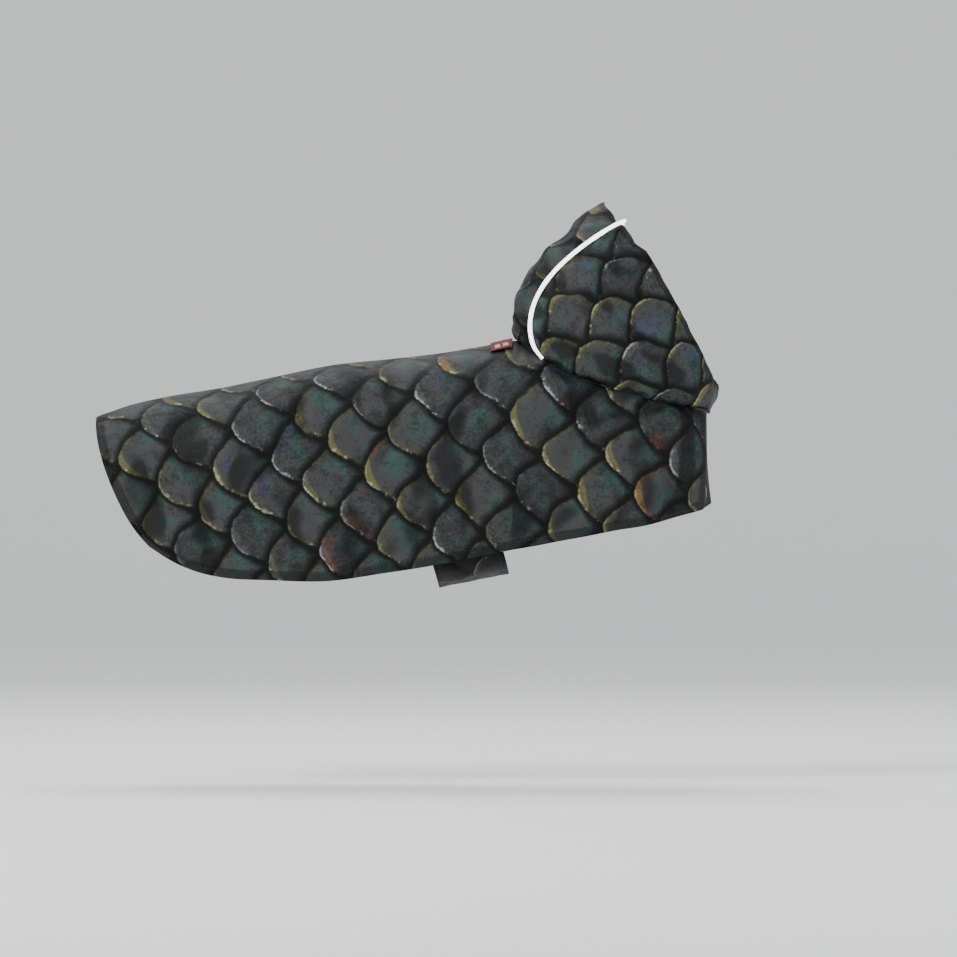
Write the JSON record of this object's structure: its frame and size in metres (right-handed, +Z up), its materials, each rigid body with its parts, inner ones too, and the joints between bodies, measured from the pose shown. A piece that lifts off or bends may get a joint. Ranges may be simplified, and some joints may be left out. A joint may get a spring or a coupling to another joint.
{
  "type": "hooded pet raincoat",
  "caption": "Hooded pet raincoat in its worn, hollow form: a draped back and chest shell, a standing hood with piped seams beside a centre panel, and a belly strap.",
  "frame": {"origin": "the underside of the back at the withers, on the middle plane, where the wearer carries the coat", "axes": "+X towards the head, +Y towards the wearer's left, +Z up"},
  "size_m": [0.5253, 0.1386, 0.325],
  "materials": {
    "printed_cloth": "satin",
    "reflective_piping": "satin",
    "label_cloth": "matte"
  },
  "bodies": {
    "root": {"body": "printed_cloth", "hood_gusset": "printed_cloth", "hood_side_right": "printed_cloth", "hood_side_left": "printed_cloth", "hood_piping_right": "reflective_piping", "hood_piping_left": "reflective_piping", "belly_strap": "printed_cloth", "back_label": "label_cloth"}
  },
  "joints": []
}
